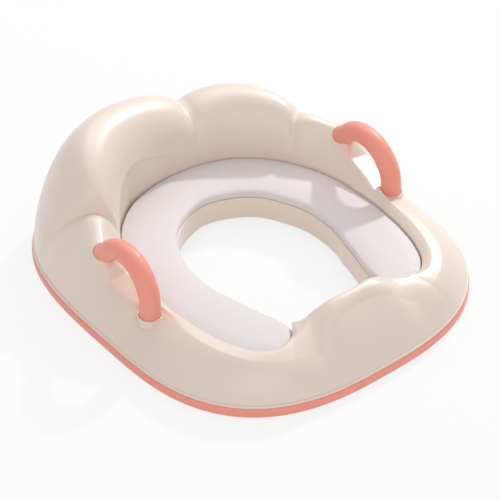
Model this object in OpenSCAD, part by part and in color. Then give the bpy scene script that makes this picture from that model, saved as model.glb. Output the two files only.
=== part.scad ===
// Toilet seat reducer for small children: a moulded ring with a high two-lobed
// back, a soft horseshoe cushion, two hooped side handles, a low front guard
// and a grip band round the foot. Millimetres, +Z up, front towards -Y, origin
// at the middle of the foot print on the resting plane.
//
// The shell is swept round the polar centre: at every angle a (0 = back,
// + = towards +X) one closed section [radius, height] is worked out.

/* [Body] */
// half width of the foot print
half_w = 174.5; // [168:0.5:182]
// foot print from the polar centre to the rearmost point
rear_l = 215.8; // [206:0.2:226]
// foot print from the polar centre to the foremost point
front_l = 170.5; // [164:0.5:178]
// squareness of the rear of the foot print
rear_n = 3.4; // [2.8:0.1:4]
// squareness of the front of the foot print
front_n = 2.7; // [2.3:0.1:3.2]
// wall thickness of the shell
wall = 3.2; // [2.4:0.1:4]

/* [Backrest] */
// height of the broad left lobe
left_lobe_z = 120; // [105:0.5:126]
// height of the narrow right lobe
right_lobe_z = 95.5; // [88:0.5:104]
// angle of the highest point of the left lobe
left_peak_a = -22; // [-28:0.5:-12]
// angle of the highest point of the right lobe
right_peak_a = 29; // [26:0.5:34]
// height of the notch between the lobes
notch_z = 81; // [74:0.5:86]
// height of the notches beside the shoulders
side_notch_z = 74; // [66:0.5:76]
// height of the shoulders
shoulder_z = 79; // [78:0.5:84]
// angle of the notch between the lobes
notch_a = 12.5; // [8:0.5:16]
// angle of the notches between lobes and shoulders
side_notch_a = 49; // [47:0.5:51]
// distance of the lobe crest behind the cushion edge
lobe_in = 36; // [30:0.5:40]

/* [Seat] */
// greatest width of the opening
opening_w = 142.8; // [136:0.4:147]
// distance of the cushion recess inside the foot print, at the sides
recess_in = 52.9; // [50:0.1:56]
// height of the brim beside the cushion
brim_z = 45.5; // [44:0.5:48]
// height of the front guard
guard_z = 68; // [58:0.5:72]
// height of the cushion top
cushion_z = 39; // [36:0.5:42]
// height of the platform under the cushion
deck_z = 30; // [28:0.5:32]
// height of the lower edge of the hole wall
hole_z = 6.5; // [5.5:0.1:8]
// gap between the cushion and the recess wall
cushion_gap = 0.5; // [0.3:0.1:1]
// gap between the cushion and the platform
cushion_rise = 0.3; // [0.2:0.1:0.6]
// roundness of the cushion section
cushion_n = 4.5; // [3:0.1:6]
// diameter of the cushion pegs
peg_d = 6; // [5:0.1:7]
// play of the cushion pegs
peg_gap = 0.3; // [0.2:0.05:0.6]
// length of the cushion pegs
peg_l = 6; // [4:0.5:8]

/* [Grip band] */
// height of the band
band_h = 10.5; // [9:0.1:11]
// width of the band section
band_w = 8; // [7:0.1:9]
// rounding of the outer band edges
band_r = 3; // [2:0.1:4]

/* [Handles] */
// distance of the handles inside the foot print
handle_inset = 31.5; // [30:0.2:33]
// diameter of the handle tube
handle_d = 19.6; // [18:0.1:20.6]
// bend radius of the hoop
hoop_r = 35; // [33:0.2:37]
// height of the hoop centre
hoop_z = 53.5; // [52:0.1:55]
// distance of the hoop centre behind the origin
hoop_y = 0.5; // [-1:0.1:2]
// lean of the handles towards the middle
handle_lean = 3; // [0:0.5:5]
// play of the handle ends in their sockets
socket_gap = 0.3; // [0.2:0.05:0.5]
// height of the collar the front leg stands in
collar_z = 43.5; // [42:0.1:45]
// width of the collar rim round the front leg
collar_w = 1.2; // [1:0.1:2.5]
// height of the ledge below the hoop at its front end
ledge_z = 44.5; // [43:0.1:46]
// place of the rear end of the ledge
ledge_end = 12.7; // [8:0.1:15]
// depth of the front leg in its collar
front_in = 9; // [7:0.5:9.5]
// free length of the straight rear leg
rear_leg = 18.4; // [16:0.2:21]
// depth of the rear leg in the shoulder
rear_in = 12; // [9:0.5:14]

/* [Underside] */
// thickness of the bottom plate
plate_t = 2.5; // [2:0.1:3]
// play of the bottom plate all round
plate_gap = 0.4; // [0.3:0.05:0.8]
// diameter of the screw bosses
boss_d = 9; // [8:0.1:10]
// thread diameter of the plate screws
screw_d = 3; // [2.5:0.1:3.5]
// head diameter of the plate screws
screw_head_d = 5.6; // [5:0.1:6.5]
// length of the plate screws
screw_l = 12; // [10:0.5:14]
// thread diameter of the handle screws
handle_screw_d = 4; // [3.5:0.1:5]
// head diameter of the handle screws
handle_head_d = 7.6; // [7:0.1:9]

/* [Hidden] */
$fn = 48;
eps = 0.01;
centre_y = (rear_l - front_l) / 2;
handle_x = half_w - handle_inset;

// Monotone cubic through stations [angle, value]; level at both ends.
function _seg(x, t, i = 0) = i >= len(t) - 2 || x < t[i + 1][0] ? i : _seg(x, t, i + 1);
function _rise(t, i) = (t[i + 1][1] - t[i][1]) / (t[i + 1][0] - t[i][0]);
function _slope(t, i) = i == 0 || i == len(t) - 1 ? 0
    : _rise(t, i - 1) * _rise(t, i) <= 0 ? 0
    : 2 / (1 / _rise(t, i - 1) + 1 / _rise(t, i));
function along(x, t) = let (i = _seg(x, t), h = t[i + 1][0] - t[i][0], u = (x - t[i][0]) / h)
    (2 * u * u * u - 3 * u * u + 1) * t[i][1] + (u * u * u - 2 * u * u + u) * h * _slope(t, i)
    + (3 * u * u - 2 * u * u * u) * t[i + 1][1] + (u * u * u - u * u) * h * _slope(t, i + 1);

// Foot print: two half superellipses.
function foot_r(a) = let (b = abs(a) < 90 ? rear_l : front_l, n = abs(a) < 90 ? rear_n : front_n)
    pow(pow(abs(sin(a)) / half_w, n) + pow(abs(cos(a)) / b, n), -1 / n);

// Outer edge of the cushion recess and edge of the hole, by angle from the back. The
// hole follows the opening, and the ring between the two follows what is left beside it.
recess_st = [[0, 143.5], [20, 143.4], [35, 139.7], [56, 130.7], [72, 125.1], [86, 121.6],
    [103, 124.2], [116, 130.7], [127, 138.3], [136, 143.8], [141, 144.5], [147, 138], [151.4, 125.2],
    [153, 114]];
hole_st = [[0, 93.1], [14, 90.4], [26.5, 87.7], [38, 84], [51, 78.3], [71, 74.0], [88, 71.4],
    [115, 73.2], [133, 82.6], [145, 94.7], [152, 106.8], [160, 108.4], [180, 109]];
hole_side = min([for (s = hole_st) s[1]]);
recess_side = min([for (s = recess_st) if (s[0] < 140) s[1]]);
hole_k = opening_w / 2 / hole_side;
ring_k = (half_w - recess_in - opening_w / 2) / (recess_side - hole_side);
guard_a = 153;
ledge_min = 0.6;
function hole_r(a) = hole_k * along(abs(a), hole_st);
function recess_r(a) = hole_r(a) + (abs(a) > guard_a ? ledge_min
    : ring_k * (along(abs(a), recess_st) - along(abs(a), hole_st)));

// Crest line: height, and distance outside the recess or hole edge.
low_st = [[49, side_notch_z], [51.5, shoulder_z - 1.5], [54, shoulder_z], [58, shoulder_z - 1.5],
    [64.4, shoulder_z - 4], [69, shoulder_z - 5.5], [74, shoulder_z - 13], [82, brim_z + 11.5],
    [90, brim_z + 5.5], [98, brim_z + 1], [120, brim_z], [140, brim_z + 0.5], [150, brim_z + 2.5],
    [158, 0.65 * brim_z + 0.35 * guard_z], [163, 0.35 * brim_z + 0.65 * guard_z],
    [169, guard_z - 1.5], [174, guard_z], [180, guard_z]];
crest_st = [[0, 36], [25, 36], [40, 31], [49, 25.5], [54, 24.5], [60, 25.5], [67, 28.5],
    [72.5, 25.5], [77, 21.5], [85, 19], [100, 12], [112, 9], [140, 8.5], [150, 9.5]];
guard_in = 11.5;
lobe_n = 2.1;
slope_n = 1.7;
function arch(u, z0, z1, n) = z0 + (z1 - z0) * pow(1 - pow(min(1, u), n), 1 / n);
function crest_z(a) = abs(a) >= side_notch_a ? along(abs(a), low_st)
    : a < left_peak_a
        ? arch((left_peak_a - a) / (left_peak_a + side_notch_a), side_notch_z, left_lobe_z, lobe_n)
    : a < notch_a ? arch((a - left_peak_a) / (notch_a - left_peak_a), notch_z, left_lobe_z, slope_n)
    : a < right_peak_a
        ? arch((right_peak_a - a) / (right_peak_a - notch_a), notch_z, right_lobe_z, lobe_n)
    : arch((a - right_peak_a) / (side_notch_a - right_peak_a), side_notch_z, right_lobe_z, lobe_n);
function crest_r(a) = abs(a) < 150 ? recess_r(a) + along(abs(a), crest_st) * lobe_in / 36
    : let (t = min(1, (abs(a) - 150) / 12), s = t * t * (3 - 2 * t))
        (1 - s) * (recess_r(150) + 9.5) + s * (hole_r(a) + guard_in);

// The broad lobe bulges over the cushion edge, where the recess wall cuts it
// in an arch; roundness of the inner face.
bulge_st = [[-180, 0], [-45.5, 0], [-44, 0.7], [-36, 2.9], [-28, 4], [-19, 4.1], [-10, 3], [0, 2], [8, 0],
    [180, 0]];
inner_n_st = [[0, 2.4], [30, 2.2], [49, 1.8], [60, 1.3], [90, 1.2], [150, 1.3], [162, 1.7], [180, 1.8]];

// Outer face. Where the share is 0 it is one rounded quarter from crest to lip;
// where it is 1 the rounded crest ends in a crease and a flatter face runs down
// from there. Crease as fractions of the way out and of the height.
share_st = [[0, 0], [90, 0], [108, 1], [140, 1], [156, 0], [158, 0], [166, 1], [180, 1]];
crease_st = [[0, 0.14], [147, 0.14], [157, 0.66], [161, 0.6], [164, 0.52], [167, 0.44], [170, 0.37],
    [174, 0.25], [180, 0.18]];
drop_st = [[0, 0.95], [147, 0.95], [157, 0.54], [161, 0.6], [164, 0.68], [167, 0.76], [170, 0.81],
    [174, 0.83], [180, 0.82]];
face_st = [[0, 4], [147, 4], [157, 2.5], [164, 2], [180, 2.5]];
crest_n = 1.8;
outer_n_st = [[0, 2.2], [25, 1.95], [42, 1.65], [58, 1.53], [67, 1.7], [76, 1.5], [100, 1.45], [147, 1.42],
    [157, 1.38], [180, 1.35]];
low_t = 35;
rim_z = cushion_z + 1;
lip_z = band_h + 3.6;
lip_in = 2.6;
lip_back = 0.8;
skirt_gap = 0.3;
skirt_z = 3;
cushion_steps = 13;
screw_play = 0.2;
head_room = 12;
leg_step = 0.1;
leg_lap = 0.6;
handle_grip = 10;
head_z = deck_z - 0.5;
handle_screw_l = collar_z - front_in - head_z + handle_grip - 1;

// Screw bosses and cushion pegs stand in the middle of the deck.
boss_a = [15, 55, 95, 135];
peg_a = [35, 75, 115];
function deck_mid(a) = (hole_r(a) + recess_r(a)) / 2;

// Section of the dome at angle a: outer face up to the crest, inner face down.
function quarter(r0, z0, rc, zc, n, t) =
    [rc + (r0 - rc) * pow(cos(t), 2 / n), z0 + (zc - z0) * pow(sin(t), 2 / n)];
function dome_out(a) = let (r0 = foot_r(a) - lip_in, rc = crest_r(a), zc = crest_z(a), b = abs(a),
    n = along(b, outer_n_st), r1 = rc + (r0 - rc) * along(b, crease_st),
    z1 = lip_z + (zc - lip_z) * along(b, drop_st), g = along(b, share_st),
    f = 4 * along(b, face_st) / norm([r0 - r1, z1 - lip_z]))
    concat([for (i = [0 : face_steps - 1]) let (u = i / face_steps, h = f * u * (1 - u))
        (1 - g) * quarter(r0, lip_z, rc, zc, n, low_t * u) + g * [r0 + (r1 - r0) * u
        + h * (z1 - lip_z), lip_z + (z1 - lip_z) * u + h * (r0 - r1)]],
    [for (i = [0 : outer_steps]) let (u = i / outer_steps)
        (1 - g) * quarter(r0, lip_z, rc, zc, n, low_t + (90 - low_t) * u)
        + g * quarter(r1, z1, rc, zc, crest_n, 90 * u)]);
function dome_in(a) = let (rc = crest_r(a), zc = crest_z(a), n = along(abs(a), inner_n_st),
    re = recess_r(a), rf = re - along(a, bulge_st),
    t0 = acos(pow((rc - re) / (rc - rf), n / 2)))
    [for (i = [1 : inner_steps]) let (t = 90 + (t0 - 90) * i / inner_steps)
    [rc - (rc - rf) * pow(cos(t), 2 / n), rim_z + (zc - rim_z) * pow(sin(t), 2 / n)]];

// Hollow of the shell: follows the lowest crest nearby and stays low where
// handles and guard need solid stock.
function hollow_z(a) = let (m = min([for (d = [-3 : 1.5 : 3]) crest_z(a + d)]) - 2 * wall)
    abs(a) < side_notch_a - 4 ? m : min(m, deck_z - 0.5);
function skirt_r(a) = foot_r(a) - band_w - skirt_gap;
function hollow(a) = let (rb = skirt_r(a) - wall, rc = crest_r(a),
    re = recess_r(a) + wall + 2, zt = hollow_z(a), z1 = deck_z - wall)
    [[hole_r(a) + wall, hole_z], [hole_r(a) + wall, z1], [re + 1, z1],
     [min(re + 5, rc - 1), max(z1 + 1, zt - 6)], [rc, zt], [rc + 0.5 * (rb - rc), z1 + 0.72 * (zt - z1)],
     [rb - 4, z1 * 0.72], [rb, lip_z], [rb, skirt_z]];

outer_steps = 9;
face_steps = 5;
inner_steps = 10;
function section(a) = let (rb = foot_r(a) - lip_back) concat(
    [[skirt_r(a), skirt_z], [skirt_r(a), band_h], [rb - 0.8, band_h],
     [rb, band_h + 0.9], [rb, band_h + 1.9], [rb - 1, lip_z - 0.8]],
    dome_out(a), dome_in(a),
    [[recess_r(a), deck_z], [hole_r(a), deck_z], [hole_r(a), hole_z]], hollow(a));

// Angles at which the shell is cut, closest at the notches and cushion ends.
function span(a, b, n) = [for (i = [0 : n - 1]) a + (b - a) * i / n];
function ease(a, b, n) = [for (i = [0 : n - 1]) a + (b - a) * (1 - cos(180 * i / n)) / 2];
side_up = concat(span(side_notch_a, 100, 12), span(100, 144, 9), span(144, guard_a, 5),
    [guard_a + 0.4, 155.5], span(157.5, 177.5, 9), [177.5]);
shell_angles = concat([-180], [for (i = [len(side_up) - 1 : -1 : 1]) -side_up[i]],
    ease(-side_notch_a, notch_a, 20), ease(notch_a, side_notch_a, 14), side_up);
band_angles = span(-180, 180, 84);
cushion_end = guard_a - 0.9;
cushion_angles = concat(span(-cushion_end, -141, 8), span(-141, 141, 50), span(141, cushion_end, 8),
    [cushion_end]);

// Sweep of equal-length loops round the polar centre: a full turn, or open
// with flat ends.
module sweep(turns, loops, full = true) {
    n = len(loops);
    m = len(loops[0]);
    polyhedron(
        points = [for (i = [0 : n - 1]) for (p = loops[i])
            [p[0] * sin(turns[i]), p[0] * cos(turns[i]) - centre_y, p[1]]],
        faces = concat([for (i = [0 : n - (full ? 1 : 2)]) for (j = [0 : m - 1])
            let (a = i * m + j, b = i * m + (j + 1) % m, c = ((i + 1) % n) * m + (j + 1) % m,
                 d = ((i + 1) % n) * m + j) each [[a, c, b], [a, d, c]]],
            full ? [] : [[for (j = [0 : m - 1]) j], [for (j = [m - 1 : -1 : 0]) (n - 1) * m + j]]),
        convexity = 10);
}
module at_polar(a, r, z) {
    translate([r * sin(a), r * cos(a) - centre_y, z]) children();
}
module both_sides() {
    children();
    mirror([1, 0, 0]) children();
}

// Handle frame: the hoop lies in the local YZ plane and leans inwards.
module in_handle_frame() {
    translate([handle_x, 0, collar_z]) rotate([0, -handle_lean, 0]) translate([0, 0, -collar_z])
        children();
}
module front_axis() {
    translate([0, hoop_y - hoop_r, collar_z - front_in]) children();
}
module rear_axis() {
    translate([0, hoop_y + hoop_r * cos(45), hoop_z + hoop_r * sin(45)]) rotate([-135, 0, 0])
        children();
}
module handle_screw_axis() {
    front_axis() translate([0, 0, head_z - collar_z + front_in]) children();
}
module hoop() {
    difference() {
        in_handle_frame() {
            front_axis() cylinder(d = handle_d + leg_step, h = hoop_z - collar_z + front_in + leg_lap);
            translate([0, hoop_y, hoop_z]) rotate([90, 0, 90]) rotate([0, 0, 45])
                rotate_extrude(angle = 135) translate([hoop_r, 0]) circle(d = handle_d);
            rear_axis() translate([0, 0, -leg_lap])
                cylinder(d = handle_d + leg_step, h = rear_leg + rear_in + leg_lap);
        }
        in_handle_frame() front_axis() translate([0, 0, -1])
            cylinder(d = handle_screw_d + screw_play, h = handle_grip + 2);
    }
}

// Ledge below the hoop: it rises to the rear, where a steeper wall leads up to the
// shoulder, and falls a little towards the outside.
ledge_front = hoop_y - hoop_r + 6.5;
ledge = [[ledge_front, ledge_z], [ledge_end, ledge_z + 11.4], [ledge_end + 8.3, ledge_z + 21],
    [ledge_end + 22, ledge_z + 36], [ledge_end + 22, ledge_z + 60], [ledge_front, ledge_z + 60]];
ledge_w = 46;
ledge_tilt = 8;

module shell() {
    color([0.9, 0.84, 0.78]) difference() {
        union() {
            sweep(shell_angles, [for (a = shell_angles) section(a)]);
            for (a = boss_a, s = [-1, 1]) at_polar(s * a, deck_mid(a), hole_z + plate_t)
                cylinder(d = boss_d, h = deck_z - wall - hole_z - plate_t + 0.6);
            both_sides() in_handle_frame() front_axis()
                cylinder(d = handle_d + 2 * (socket_gap + collar_w), h = front_in);
        }
        for (a = boss_a, s = [-1, 1]) at_polar(s * a, deck_mid(a), hole_z + plate_t - 1)
            cylinder(d = screw_d + screw_play, h = screw_l);
        for (a = peg_a, s = [-1, 1]) at_polar(s * a, deck_mid(a), deck_z - wall - 2)
            cylinder(d = peg_d + 2 * peg_gap, h = wall + 4);
        both_sides() {
            translate([handle_x, 0, ledge_z]) rotate([0, ledge_tilt, 0])
                translate([-ledge_w / 2, 0, -ledge_z]) rotate([90, 0, 90])
                    linear_extrude(ledge_w) polygon(ledge);
            in_handle_frame() {
                front_axis() cylinder(d = handle_d + 2 * socket_gap, h = 40);
                rear_axis() translate([0, 0, rear_leg - 8])
                    cylinder(d = handle_d + 2 * socket_gap, h = rear_in + 8);
                front_axis() translate([0, 0, -14]) cylinder(d = handle_screw_d + screw_play, h = 15);
                handle_screw_axis() translate([0, 0, -head_room])
                    cylinder(d = handle_head_d + 4 * screw_play, h = head_room);
            }
        }
    }
}

module band() {
    color([0.93, 0.52, 0.46]) sweep(band_angles, [for (a = band_angles) let (r = foot_r(a))
        concat([[r - band_w, 0]],
            [for (t = [-90 : 30 : 0]) [r - band_r + band_r * cos(t), band_r + band_r * sin(t)]],
            [for (t = [0 : 30 : 90]) [r - band_r + band_r * cos(t), band_h - band_r + band_r * sin(t)]],
            [[r - band_w, band_h]])]);
}

module cushion() {
    base = deck_z + cushion_rise;
    color([0.9, 0.89, 0.89]) {
        sweep(cushion_angles, [for (a = cushion_angles) let (ri = hole_r(a) + ledge_min,
            ro = recess_r(a) - cushion_gap, rm = (ri + ro) / 2, w = (ro - ri) / 2)
            [for (i = [0 : cushion_steps]) let (t = 180 * i / cushion_steps, c = cos(t))
                [rm + w * sign(c) * pow(abs(c), 2 / cushion_n),
                 base + (cushion_z - base) * pow(abs(sin(t)), 2 / cushion_n)]]], false);
        for (a = peg_a, s = [-1, 1]) at_polar(s * a, deck_mid(a), base - peg_l)
            cylinder(d = peg_d, h = peg_l + 1);
    }
}

module plate() {
    color([0.86, 0.81, 0.75]) difference() {
        translate([0, 0, hole_z]) linear_extrude(plate_t) difference() {
            polygon([for (a = band_angles) let (r = skirt_r(a) - wall - plate_gap)
                [r * sin(a), r * cos(a) - centre_y]]);
            polygon([for (a = band_angles) let (r = hole_r(a) + wall + plate_gap)
                [r * sin(a), r * cos(a) - centre_y]]);
        }
        for (a = boss_a, s = [-1, 1]) at_polar(s * a, deck_mid(a), hole_z - 1)
            cylinder(d = screw_d + screw_play, h = plate_t + 2);
    }
}

module screw(d, head_d, length) {
    color([0.75, 0.75, 0.77]) {
        translate([0, 0, -0.6 * d]) cylinder(d = head_d, h = 0.6 * d);
        translate([0, 0, -eps]) cylinder(d = d, h = length);
    }
}
module plate_screw(i) {
    a = boss_a[floor(i / 2)] * (i % 2 == 0 ? 1 : -1);
    at_polar(a, deck_mid(a), hole_z) screw(screw_d, screw_head_d, screw_l - 2);
}
module handle_right() {
    color([0.93, 0.52, 0.46]) hoop();
}
module handle_left() {
    color([0.93, 0.52, 0.46]) mirror([1, 0, 0]) hoop();
}
module handle_screw_right() {
    in_handle_frame() handle_screw_axis() screw(handle_screw_d, handle_head_d, handle_screw_l);
}
module handle_screw_left() {
    mirror([1, 0, 0]) handle_screw_right();
}

shell();  // seat_shell
band();  // grip_band
plate();  // bottom_plate
cushion();  // seat_cushion
handle_right();
handle_left();
handle_screw_right();
handle_screw_left();
plate_screw(0);  // plate_screw_1
plate_screw(1);  // plate_screw_2
plate_screw(2);  // plate_screw_3
plate_screw(3);  // plate_screw_4
plate_screw(4);  // plate_screw_5
plate_screw(5);  // plate_screw_6
plate_screw(6);  // plate_screw_7
plate_screw(7);  // plate_screw_8
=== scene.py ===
"""Toilet seat reducer for small children: surfaces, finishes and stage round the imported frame.

The moulded shell, the horseshoe cushion, the hooped handles and the grip band are
surfaces swept round the seat's polar centre: at every angle one section [radius, height]
is worked out as whole arrays. Sizes are millimetres until a mesh is made, then metres.
"""

import math

import bpy
import numpy as np
from bpy.props import FloatProperty, FloatVectorProperty, PointerProperty
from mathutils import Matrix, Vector


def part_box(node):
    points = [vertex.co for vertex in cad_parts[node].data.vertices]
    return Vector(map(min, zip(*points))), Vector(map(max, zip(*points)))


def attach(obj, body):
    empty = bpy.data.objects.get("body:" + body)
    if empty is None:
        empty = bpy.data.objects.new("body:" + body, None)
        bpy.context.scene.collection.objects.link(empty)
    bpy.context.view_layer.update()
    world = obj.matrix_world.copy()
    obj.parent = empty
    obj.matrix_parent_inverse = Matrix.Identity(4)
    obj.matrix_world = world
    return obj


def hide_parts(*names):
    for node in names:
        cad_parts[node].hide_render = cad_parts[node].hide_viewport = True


bl_info = {
    "name": "Seat Reducer",
    "version": (1, 0, 0),
    "blender": (4, 5, 0),
    "location": "View3D > Sidebar > Seat Reducer",
    "description": "Makes the shell, cushion, handles, band and stage of a toilet seat reducer",
    "category": "Add Mesh",
}

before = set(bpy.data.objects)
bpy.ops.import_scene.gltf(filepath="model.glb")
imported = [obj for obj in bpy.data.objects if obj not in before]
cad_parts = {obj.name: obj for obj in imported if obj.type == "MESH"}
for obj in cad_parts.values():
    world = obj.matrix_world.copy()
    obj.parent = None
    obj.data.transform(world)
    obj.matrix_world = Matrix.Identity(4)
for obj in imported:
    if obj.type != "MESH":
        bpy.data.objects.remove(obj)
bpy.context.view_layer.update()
MM = 0.001


def span_mm(node, axis):
    """Extent of a CAD node along one axis, in millimetres."""
    low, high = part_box(node)
    return (high[axis] - low[axis]) / MM


# Form of the seat

# Wall, rim above the cushion, foot of the hole, deck below the cushion.
WALL = 3.2
RIM_STEP = 1.0
HOLE_Z = 6.5
DECK_Z = 30.0
# Grip band: height, width, rounding. Lip above it: height, set in, set back.
BAND_H, BAND_W, BAND_R = 10.5, 8.0, 3.0
LIP_Z, LIP_IN, LIP_BACK = BAND_H + 3.6, 2.6, 0.8
SKIRT_Z, SKIRT_GAP = 3.0, 0.3
# Part of a plain quarter that belongs to the face, in degrees.
LOW_T = 35.0
# Powers of the superellipses: lobes, slope between them, foot print behind and in front.
LOBE_N, SLOPE_N = 2.1, 1.7
REAR_N, FRONT_N = 3.4, 2.7
# The recess ends at GUARD_A; from GUARD_FROM the crest moves over to the guard.
GUARD_A, GUARD_IN, LEDGE_MIN = 153.0, 11.5, 0.6
GUARD_FROM, GUARD_OVER = 150.0, 12.0
# Recess wall below the dome: first step down, and its lean where it is set back.
EDGE_STEP, EDGE_LEAN = 0.4, 1.2

# Lines drawn over the angle from the back: stations [degrees, value].
RECESS = [[0, 143.5], [20, 143.4], [35, 139.7], [56, 130.7], [72, 125.1], [86, 121.6],
          [103, 124.2], [116, 130.7], [127, 138.3], [136, 143.8], [141, 144.5], [147, 138],
          [151.4, 125.2], [153, 114]]
HOLE = [[0, 93.1], [14, 90.4], [26.5, 87.7], [38, 84], [51, 78.3], [71, 74.0], [88, 71.4],
        [115, 73.2], [133, 82.6], [145, 94.7], [152, 106.8], [160, 108.4], [180, 109]]
CREST_OUT = [[0, 36], [25, 36], [40, 31], [49, 25.5], [54, 24.5], [60, 25.5], [67, 28.5],
             [72.5, 25.5], [77, 21.5], [85, 17], [94, 9], [103, 7.5], [112, 8], [140, 8.5],
             [150, 9.5]]
BULGE = [[-180, 0], [-45.5, 0], [-44, 0.8], [-37, 3.1], [-30, 4.2], [-24, 4.2], [-16, 3.2],
         [-7, 1.7], [0, 0.8], [4, 0], [180, 0]]
SET_BACK = 0.4
INNER_N = [[0, 2.4], [30, 2.2], [49, 1.8], [60, 1.3], [90, 1.2], [150, 1.3], [162, 1.7],
           [180, 1.8]]
SHARE = [[0, 0], [84, 0], [97, 1], [180, 1]]
CREASE = [[0, 0.14], [90, 0.03], [104, 0.09], [112, 0.15], [119.5, 0.19], [126.5, 0.225],
          [137.7, 0.274], [143.6, 0.32], [150, 0.46], [155.5, 0.53], [159, 0.575],
          [161, 0.57], [162.3, 0.51], [164.1, 0.44], [167.1, 0.35], [171.9, 0.27],
          [177.6, 0.228], [180, 0.223]]
DROP = [[0, 0.95], [94, 0.95], [112, 0.985], [126.5, 0.98], [132.7, 0.965], [137.7, 0.94],
        [143.6, 0.91], [150, 0.85], [155.5, 0.74], [158.5, 0.65], [160.3, 0.605],
        [161.3, 0.64], [162.3, 0.705], [164.1, 0.785], [167.1, 0.83], [171.9, 0.852],
        [177.6, 0.864], [180, 0.864]]
EDGE_N = [[0, 1.8], [90, 1.4], [150, 1.35], [156, 1.6], [160, 2.4], [163, 2.6], [170, 2.5],
          [180, 2.4]]
ROUND = [[0, 0], [43, 0], [54, 1], [84, 1], [100, 0], [180, 0]]
FACE = [[0, 4], [147, 4], [157, 2.5], [164, 2], [180, 2.5]]
OUTER_N = [[0, 2.2], [25, 1.95], [42, 1.65], [58, 1.53], [67, 1.7], [76, 1.5], [100, 1.45],
           [147, 1.42], [157, 1.38], [180, 1.35]]

# Rounding of the crest: rise, bend at the crest, slope far from it, width of the blend.
ROUND_RISE, ROUND_BEND, ROUND_SLOPE, ROUND_SOFT = 2.2, 0.085, 1.2, 1.2
# Averaging over the angle: (degrees to the side, weight); wider for the dome's lines,
# narrower for the crest from the lobes' middle outwards.
SOFTEN = [(-2.1, 1), (-1.4, 2), (-0.7, 3), (0, 4), (0.7, 3), (1.4, 2), (2.1, 1)]
SOFTEN_SUM = sum(weight for _, weight in SOFTEN)
SOFTEN_WIDE = 1.6
SOFTEN_NARROW, NARROW_FROM, NARROW_OVER = 0.65, 25.0, 15.0


def along(x, stations):
    """Monotone cubic through stations [place, value], level at both ends: Hermite cubic
    whose inner slopes are the harmonic mean of the two neighbouring rises, or 0 where
    the rises differ in sign. Past the last station it keeps that station's value."""
    knots, values = np.array(stations, float).T
    width = np.diff(knots)
    rise = np.diff(values) / width
    slope = np.zeros(len(knots))
    same = rise[:-1] * rise[1:] > 0
    slope[1:-1][same] = 2 / (1 / rise[:-1][same] + 1 / rise[1:][same])
    x = np.minimum(np.asarray(x, float), knots[-1])
    i = np.clip(np.searchsorted(knots, x, side="right") - 1, 0, len(width) - 1)
    u = (x - knots[i]) / width[i]
    return ((2 * u**3 - 3 * u**2 + 1) * values[i] + (u**3 - 2 * u**2 + u) * width[i] * slope[i]
            + (3 * u**2 - 2 * u**3) * values[i + 1] + (u**3 - u**2) * width[i] * slope[i + 1])


def softly(b, stations):
    """The curve through the stations, averaged over a few degrees on both sides, the
    nearer places counting more."""
    return sum(weight * along(np.abs(b + SOFTEN_WIDE * side), stations)
               for side, weight in SOFTEN) / SOFTEN_SUM


def ease(t):
    """Smooth step: 0 below 0, 1 above 1, between them 3 t squared less 2 t cubed."""
    t = np.clip(t, 0, 1)
    return t * t * (3 - 2 * t)


def cos_d(a):
    """Cosine of degrees."""
    return np.cos(np.radians(a))


def sin_d(a):
    """Sine of degrees."""
    return np.sin(np.radians(a))


def power(base, exponent):
    """Base to the exponent; a base that rounding left below zero counts as zero."""
    return np.maximum(base, 0) ** exponent


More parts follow.
